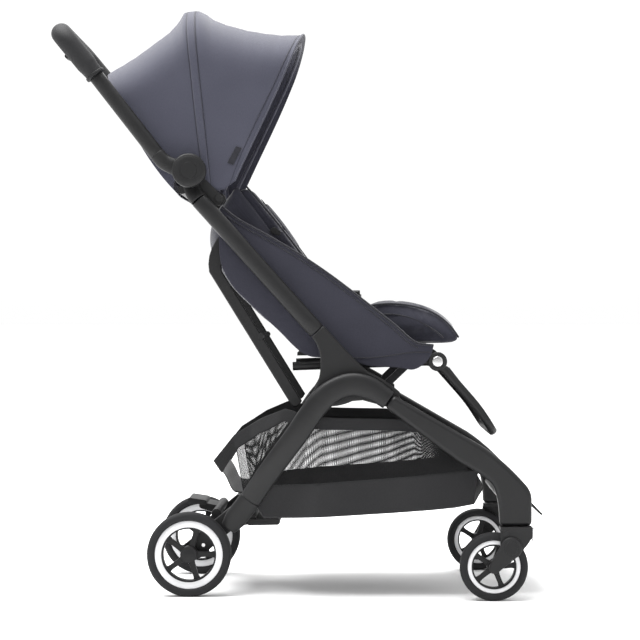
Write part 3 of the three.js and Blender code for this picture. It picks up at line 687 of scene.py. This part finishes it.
def hood_strip(name, t_low, t_high, material, count=3, lift=0.7):
    """A strip of the hood between two lines; each is a share front to rear, at the foot and at the crown."""
    line = lambda ends, share: ends[0] + (ends[1] - ends[0]) * math.sin(math.pi * share) ** 0.8
    shares = [k / 130 for k in range(131)]
    rows = [[hood_point(line(t_low, share) * (1 - a) + line(t_high, share) * a, share, lift) for share in shares]
            for a in np.linspace(0, 1, count)]
    strip = sheet_mesh(name, rows, material)
    solidify(strip, 1.0)
    return strip


def hood():
    across, deep, steps = 150, 120, 30
    rows = []
    for t in np.linspace(0, 1, deep):
        row = []
        for k in range(across + 1):
            x, y, z = hood_point(t, k / across)
            n = noise.noise(Vector((x * 0.02, y * 0.02, z * 0.011)))
            row.append((x, y * (1 - 0.004 * n), z + 0.7 * n))
        rows.append(row)
    # the same sheet turns down at the back, to the brace between the tubes
    last = rows[-1]
    for step in range(1, steps + 1):
        v = step / steps
        out = 9 * math.sin(math.pi * v)
        row = []
        for x, y, z in last:
            tx, tz = -213 - 4 * (1 - (y / 158) ** 2), 716
            fold = 1.3 * math.sin(y * 0.11) * math.sin(math.pi * v)
            push = out + fold
            row.append((x + (tx - x) * v - push * 0.86, y * (1 - 0.02 * v), z + (tz - z) * v - push * 0.4))
        rows.append(row)
    cloth = sheet_mesh("hood_sheet", rows, [HOOD, LINING, SEAM])
    for polygon in cloth.data.polygons[:across]:
        polygon.material_index = 1  # the hem shows the lining
    solidify(cloth, 1.4)
    cloth.modifiers[-1].material_offset = 1
    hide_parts("canopy")
    trims = [
        hood_strip("hood_hem_seam", (0.112, 0.0125), (0.124, 0.0165), SEAM),
        hood_strip("hood_seam_front", (0.494, 0.4955), (0.506, 0.5005), SEAM),
        hood_strip("hood_seam_rear", (0.618, 0.531), (0.632, 0.536), SEAM),
        hood_strip("hood_band", (0.506, 0.5005), (0.618, 0.531), HOOD, 5, 0.9),
    ]
    edge = [hood_point(0.004, k / 150, 0.3) for k in range(151)]
    cord = tube("hood_front_piping", edge, 2.6, 2.6, HOOD, 10)
    trims.append(cord)
    for obj in (cloth, *trims):
        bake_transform(obj)


hood()


def blank_tag():
    """A plain woven tag on the hood's side, with nothing on it."""
    corners = [(-107.7, 799.2), (-97.1, 795.8), (-112.5, 765.7), (-123.3, 769.6)]
    grid = [hood_point(t, share) for t in np.linspace(0.05, 0.45, 60) for share in np.linspace(0.0, 0.28, 60)]
    y = min(min(grid, key=lambda p: math.hypot(p[0] - x, p[2] - z))[1] for x, z in corners)
    patch = plate("hood_tag", corners, y - 0.4, y - 1.4, PIPING, 0.3, 1)
    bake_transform(patch)


blank_tag()


# ---- Seat ----

BACK_TOP, BACK_FOOT = np.array((-95.0, 739.0)), np.array((76.0, 514.0))  # the backrest's front face
PUFF_PRESSURE, PUFF_FRAMES = 4.0, 20


def puff(obj, cap, base):
    """Swells a closed pad with a short cloth simulation; no point moves further than cap millimetres.
    base is the direction of the face it rests on, which stays flat."""
    scene = bpy.context.scene
    rest = np.array([v.co for v in obj.data.vertices])
    cloth = obj.modifiers.new("Cloth", "CLOTH")
    cloth.settings.use_pressure = True
    cloth.settings.uniform_pressure_force = PUFF_PRESSURE
    cloth.settings.effector_weights.gravity = 0
    cloth.settings.quality = 4
    cloth.collision_settings.use_self_collision = False
    for step in range(1, PUFF_FRAMES + 1):
        scene.frame_set(step)
    graph = bpy.context.evaluated_depsgraph_get()
    moved = np.array([v.co for v in obj.evaluated_get(graph).data.vertices])
    obj.modifiers.remove(cloth)
    scene.frame_set(1)
    shift = moved - rest
    b = np.array(base, float)
    shift -= np.outer(np.maximum(shift @ b, 0), b)
    length = np.linalg.norm(shift, axis=1)
    shift *= (np.minimum(length, cap * MM) / np.maximum(length, 1e-9))[:, None]
    obj.data.vertices.foreach_set("co", (rest + shift).astype(np.float32).ravel())
    obj.data.update()


def padded(name, outline, half_width, material, node, base, cap=7, voxel=5.0, channels=()):
    """A pad from its side-view outline: remeshed, swollen, with its channels pressed in and one subdivision."""
    rough = plate(f"{name}_blank", outline, -half_width, half_width, material, 7.0, 3, 40)
    modify(rough, "REMESH", mode="VOXEL", voxel_size=voxel * MM)
    graph = bpy.context.evaluated_depsgraph_get()
    mesh = bpy.data.meshes.new_from_object(rough.evaluated_get(graph))
    bpy.data.objects.remove(rough)
    mesh.materials.clear()
    obj = new_object(name, mesh, material)
    for polygon in mesh.polygons:
        polygon.use_smooth = True
    puff(obj, cap, base)
    b = np.array(base, float)
    co = np.array([v.co for v in mesh.vertices])
    height = co @ -b
    for start_at, direction, width, depth in channels:
        d = np.array(direction, float)
        offset = (co - np.array(start_at, float) * MM) @ (d / np.linalg.norm(d))
        press = depth * MM * np.exp(-(offset / (width * MM)) ** 2)
        top = height > np.percentile(height, 30)
        co[top] += np.outer(press, b)[top]
    mesh.vertices.foreach_set("co", co.astype(np.float32).ravel())
    mesh.update()
    modify(obj, "SUBSURF", levels=1, render_levels=1)
    stand_for(obj, node)
    low = co[:, [0, 2]] @ np.array((base[0], base[2]), float)
    rest_on = co[low.argmax()]
    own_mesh(obj)


def piping(name, route, body, radius):
    with_body(tube(name, route, 2 * radius, 2 * radius, PIPING, 10), body)


def seat():
    seat_outline = quadratic([("M", 4, 441), ("L", 119, 443), ("L", 119, 496), ("Q", 95, 503, 80, 496),
                              ("Q", 30, 474, 4, 458)])
    padded("seat_cushion", seat_outline, 108, NAVY, "seat_pad", (0, 0, -1), 5,
           channels=[((62, 0, 460), (1, 0, 0), 2.5, 3.0)])
    calf_outline = quadratic([("M", 123, 446), ("L", 252, 449), ("Q", 294, 449, 292, 458), ("Q", 270, 496, 232, 509),
                              ("Q", 178, 528, 123, 515)])
    padded("calf_cushion", calf_outline, 110, NAVY, "calf_pad", (0, 0, -1), 6, voxel=4.5,
           channels=[((178, 0, 500), (1, 0, -0.1), 2.2, 3.5), ((0, -62, 0), (0, 1, 0), 2.2, 2.5),
                     ((0, 62, 0), (0, 1, 0), 2.2, 2.5)])
    for tag, side in SIDES:
        rim = quadratic([("M", 124, 515), ("Q", 178, 527, 232, 509), ("Q", 269, 495, 290, 459)])
        piping(f"calf_piping_{tag}", [(x, side * 110.5, z) for x, z in rim], "seat", 1.8)
        rim = quadratic([("M", 140, 500), ("Q", 180, 505, 215, 490), ("Q", 250, 473, 262, 458)])
        piping(f"calf_inner_piping_{tag}", [(x, side * 115, z) for x, z in rim], "seat", 1.2)
    top, foot = BACK_TOP, BACK_FOOT
    up = (top - foot) / np.linalg.norm(top - foot)
    out = np.array((-up[1], up[0])) * -1
    on = lambda share, off: tuple(foot + (top - foot) * share + out * off)
    crowned = [on(s, -3 + 4 * math.sin(math.pi * s)) for s in np.linspace(0.08, 0.92, 12)]
    back_outline = [on(0.01, -27), on(0.01, -3), *crowned, on(0.97, -4), on(0.99, -12), on(0.99, -27)]
    slope = (-out[0], 0, -out[1])
    padded("backrest_cushion", back_outline, 108, NAVY, "backrest_pad", slope, 5,
           channels=[((on(s, 0)[0], 0, on(s, 0)[1]), (up[0], 0, up[1]), 2.2, 3.0) for s in (0.3, 0.62)]
           + [((0, y, 0), (0, 1, 0), 2.2, 2.5) for y in (-70, 70)])
    for tag, side in SIDES:
        edge = [on(s, -3 + 6 * math.sin(math.pi * s)) for s in np.linspace(0.03, 0.97, 20)]
        piping(f"back_piping_{tag}", [(x, side * 108.5, z) for x, z in edge], "backrest", 1.8)
        cx, cz = on(0.63, -9)
        slider = rounded([(cx - 11, cz + 3), (cx - 2, cz + 8), (cx + 11, cz - 2), (cx + 6, cz - 9), (cx - 8, cz - 4),
                          (cx - 11, cz + 3)], 4, 4)
        slider = plate(f"strap_adjuster_{tag}", slider[1:], side * 111.5, side * 116, DULL, 1.0, 2)
        with_body(slider, "backrest")
        strap_rows = []
        for s in np.linspace(0.2, 0.86, 40):
            x, z = on(s, 2.6 + 5.2 * math.sin(math.pi * s) ** 0.6)
            strap_rows.append([(x, side * (46 - 6 * (0.86 - s)) + w, z) for w in np.linspace(-12.5, 12.5, 7)])
        strap = sheet_mesh(f"harness_{tag}", strap_rows, WEBBING)
        solidify(strap, 1.6)
        stand_for(strap, f"shoulder_strap_{tag}")
        pad_rows = []
        for s in np.linspace(0.48, 0.82, 22):
            x, z = on(s, 8.0 + 3.2 * math.sin(math.pi * (s - 0.48) / 0.34) ** 0.5)
            y = side * (46 - 6 * (0.86 - s))
            pad_rows.append([(x, y + w, z - 0.02 * w * w) for w in np.linspace(-19, 19, 11)])
        chest = sheet_mesh(f"harness_pad_{tag}", pad_rows, NAVY)
        solidify(chest, 5)
        chest.modifiers[-1].use_even_offset = True
        ease(chest, 1.6, 3, 60)
        with_body(chest, "backrest")


def back_sling():
    """The hammock behind the backrest: one sheet from side to side, joined to the pad's two edges."""
    top, foot = BACK_TOP, BACK_FOOT
    out = np.array((0.796, 0.605))
    rear = curve_through([(-119, 722), (-152, 686), (-163, 640), (-150, 590), (-108, 536), (-50, 484), (-6, 458)], 8)
    rows, columns = [], 80
    for i, r in enumerate(rear):
        h = 1 - i / (len(rear) - 1)
        f = foot + (top - foot) * h - 16 * out
        row = []
        for k in range(columns + 1):
            phi = math.pi * k / columns
            depth = math.sin(phi) ** 0.3 if 0 < k < columns else 0.0
            x, z = f + (r - f) * depth
            y = -111 * math.cos(phi)
            n = noise.noise(Vector((x, y, z)) * 0.014)
            row.append((x + 1.6 * n, y, z + 1.6 * n))
        rows.append(row)
    sling = sheet_mesh("back_sling", rows, NAVY)
    solidify(sling, 1.6)
    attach(sling, "backrest")


def side_panel(tag, side):
    top = curve_through([(-133, 692), (-106, 671), (-52, 641), (4, 608), (59, 571), (124, 521.5), (174, 482),
                         (212, 451), (243, 446)], 8)
    low = curve_through([(-138, 684), (-138, 645), (-134, 590), (-112, 549), (-87, 524), (-34, 474), (18, 428),
                         (75, 424.5), (130, 409), (180, 406.6), (207, 403), (228, 415), (239, 430)], 6)
    walk = lambda line, n: np.array([
        [np.interp(t, np.linspace(0, 1, len(line)), np.array(line)[:, a]) for a in (0, 1)]
        for t in np.linspace(0, 1, n)])
    m, n = 100, 42
    upper, lower = walk(top, m), walk(low, m)
    rows = []
    for i in range(m):
        row = []
        for k in range(n):
            v = k / (n - 1)
            x, z = upper[i] * (1 - v) + lower[i] * v
            bulge = 2.4 * math.sin(math.pi * v) * math.sin(math.pi * i / (m - 1))
            crease = 0.7 * math.sin(0.09 * (x + z)) * smoothstep(0.5, 1, v)
            crease += 0.9 * noise.noise(Vector((x, z, 40)) * 0.017)
            row.append((x, side * (157.4 + bulge * 0.4 + crease * 0.6), z))
        rows.append(row)
    panel = sheet_mesh(f"side_panel_{tag}_sheet", rows, PANEL)
    solidify(panel, 1.6, 0)
    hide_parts(f"side_panel_{tag}")
    trims = []
    for name, route, r in (("top", top, 2.0), ("inner", [p + np.array((-4.2, -6.2)) for p in top[4:-6]], 0.9)):
        route = [(x, side * 158.8, z) for x, z in route]
        cord = tube(f"panel_{name}_piping_{tag}", route, 2 * r, 2 * r, PIPING, 10)
        trims.append(cord)
    seam = curve_through([(100, 424), (130, 424), (160, 427), (200, 433), (236, 434)], 8)
    cord = tube(f"panel_seam_{tag}", [(p[0], side * 159.0, p[1]) for p in seam], 1.8, 1.8, PIPING, 8)
    trims.append(cord)
    for obj in (panel, *trims):
        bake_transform(obj)


def leg_rest():
    knee, tip = np.array((271.0, 405.5)), np.array((338.0, 321.5))
    rows = []
    for t in np.linspace(0, 1, 40):
        x, z = knee + (tip - knee) * t
        sag = math.sin(math.pi * t)
        rows.append([(x - 3.5 * sag * (1 - (y / 140) ** 4), y, z - 2.5 * sag * (1 - (y / 140) ** 4))
                     for y in np.linspace(-138, 138, 70)])
    sling = sheet_mesh("leg_rest_sling", rows, NAVY)
    solidify(sling, 2.0, 0)
    stand_for(sling, "leg_rest_panel")


seat()
back_sling()
leg_rest()
for tag, side in SIDES:
    side_panel(tag, side)


# ---- Basket ----

BASKET_TOP = [(-150, 239), (-112, 286), (-64, 316), (-20, 334), (24, 320), (90, 318), (160, 317), (215, 314),
              (268, 286), (322, 238)]
BASKET_LOW = [(-112, 184), (-96, 180), (-74, 160), (-60, 138), (0, 140.5), (80, 145), (160, 150), (230, 155),
              (280, 160), (312, 166)]


def half_width(x):
    """Half the basket's width, which narrows towards the rear legs."""
    return float(np.interp(x, (-160, -84, -30, 40, 345), (124, 130, 156, 180, 180)))


def basket_strip(side, top_edge, low_edge, out=0.0, m=110, n=14):
    """Points on the basket's side, between two distances below its top line; negative ones count up from
    the floor."""
    rows = []
    lines = [np.array(line, float).T for line in (BASKET_TOP, BASKET_LOW)]
    for u in np.linspace(0, 1, m):
        i = u * (len(BASKET_TOP) - 1)
        a, b = (np.array([np.interp(i, range(10), axis) for axis in line]) for line in lines)
        length = np.linalg.norm(a - b)
        ends = [e(u) / length if e(u) >= 0 else 1 + e(u) / length for e in (top_edge, low_edge)]
        row = []
        for v in np.linspace(*ends, n):
            x, z = a * (1 - v) + b * v
            bulge = 2.4 * math.sin(math.pi * min(max(v, 0), 1))
            bulge += 1.2 * noise.noise(Vector((x, z, side * 9)) * 0.018)
            row.append((x, side * (half_width(x) - 1.4 + bulge + out), z))
        rows.append(row)
    return rows


def basket():
    pieces = []
    hem_width = lambda u: 27 - 6 * smoothstep(0.25, 0.4, u)
    band_width = lambda u: -(2 + 56 * smoothstep(0.1, 0.34, u) + 6 * u)
    for tag, side in SIDES:
        mesh = basket_strip(side, lambda u: hem_width(u) - 3, lambda u: band_width(u) + 3, 0, 196, 62)
        net = sheet_mesh(f"basket_net_{tag}", mesh, NET)
        modify(net, "WIREFRAME", thickness=1.12 * MM, use_even_offset=False, use_boundary=True)
        pieces.append(net)
        for name, top_edge, low_edge in (("hem", lambda u: 0.0, hem_width), ("band", band_width, lambda u: -0.01)):
            strip = sheet_mesh(f"basket_{name}_{tag}", basket_strip(side, top_edge, low_edge, 0.5), BASKET_CLOTH)
            solidify(strip, 1.6)
            pieces.append(strip)
    floor = []
    for u in np.linspace(0, 1, 60):
        i = u * 6 + 3
        x = float(np.interp(i, range(10), [p[0] for p in BASKET_LOW]))
        z = float(np.interp(i, range(10), [p[1] for p in BASKET_LOW]))
        w = half_width(x) - 1
        floor.append([(x, y, z + 1.5 - 4 * (1 - (y / w) ** 2)) for y in np.linspace(-w, w, 50)])
    base = sheet_mesh("basket_floor", floor, BASKET_CLOTH)
    solidify(base, 1.8)
    for name, outward, line in (
            ("back", -3, [(-146, 238), (-128, 212), (-112, 184), (-90, 183), (-70, 172), (-60, 140)]),
            ("front", 3, [(322, 211), (328, 196), (320, 180), (312, 166)])):
        line = curve_through(line, 6)
        rows = []
        for x, z in line:
            w = half_width(x) - 0.5
            rows.append([(x + outward * (1 - (y / w) ** 2), y, z) for y in np.linspace(-w, w, 60)])
        wall = sheet_mesh(f"basket_{name}", rows, BASKET_CLOTH)
        solidify(wall, 1.4, 0)
        pieces.append(wall)
    stand_for(base, "basket")
    bag = [base, *pieces]
    for obj in pieces:
        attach(obj, "front_frame")
    for obj in bag:
        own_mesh(obj)


basket()


# ---- Studio ----


def studio():
    scene = bpy.context.scene
    bm = bmesh.new()
    rows = []
    for y in (-14, -5, 0, 5, 14, 60):
        rows.append([bm.verts.new((x, y, 0)) for x in (-40, -6, 0, 6, 40)])
    for one, two in zip(rows, rows[1:]):
        for k in range(4):
            bm.faces.new((one[k], one[k + 1], two[k + 1], two[k]))
    made, tree, shader = start("floor_paper")
    where = add_node(tree, "ShaderNodeTexCoord").outputs["Object"]
    soft = add_node(tree, "ShaderNodeTexNoise", {"Vector": where, "Scale": 1.5}).outputs[0]
    tree.links.new(mix_colour(tree, soft, (0.93, 0.93, 0.93), (0.96, 0.96, 0.96)), shader.inputs["Base Color"])
    shader.inputs["Roughness"].default_value = 0.9
    floor = from_bmesh("studio_floor", bm, made)
    world = bpy.data.worlds.new("studio")
    scene.world = world
    world.use_nodes = True
    tree = world.node_tree
    parts = add_node(tree, "ShaderNodeSeparateXYZ", {0: add_node(tree, "ShaderNodeTexCoord").outputs["Generated"]})
    sideways = spread(tree, parts.outputs[1], -0.6, 0.5, 0.16, 1.0)
    overhead = maths(tree, "MULTIPLY", maths(tree, "MAXIMUM", parts.outputs[2], 0.0), 0.75)
    horizon = spread(tree, maths(tree, "ABSOLUTE", parts.outputs[2]), 0.14, 0.34, 1.0, 0.0)
    low_light = maths(tree, "MAXIMUM", sideways, horizon)
    tree.links.new(maths(tree, "ADD", low_light, overhead), tree.nodes["Background"].inputs[1])
    tree.nodes["Background"].inputs[0].default_value = (1, 1, 1, 1)
    for name, place, aim, size, power in (("key", (-1.0, -0.2, 3.6), (0, 0, 0.5), 3.0, 300),
                                          ("fill", (2.6, -2.4, 2.4), (0, 0, 0.5), 2.4, 14),
                                          ("rim", (0.6, 2.6, 3.0), (0, 0, 0.6), 2.2, 30)):
        light = bpy.data.objects.new(name, bpy.data.lights.new(name, "AREA"))
        light.data.shape = "SQUARE"
        light.data.size = size
        light.data.energy = power
        light.location = place
        light.rotation_mode = "QUATERNION"
        light.rotation_quaternion = (Vector(aim) - Vector(place)).to_track_quat("-Z", "Y")
        scene.collection.objects.link(light)
    camera = bpy.data.objects.new("camera", bpy.data.cameras.new("camera"))
    camera.location = (0.082, -3.55, 0.5086)
    camera.rotation_euler = (math.pi / 2, 0, 0)
    camera.data.lens = 107.6
    camera.data.sensor_width = 36
    camera.data.shift_x = -23 / 640
    camera.data.shift_y = -10 / 640
    scene.collection.objects.link(camera)
    scene.camera = camera
    scene.view_settings.view_transform = "Standard"


studio()
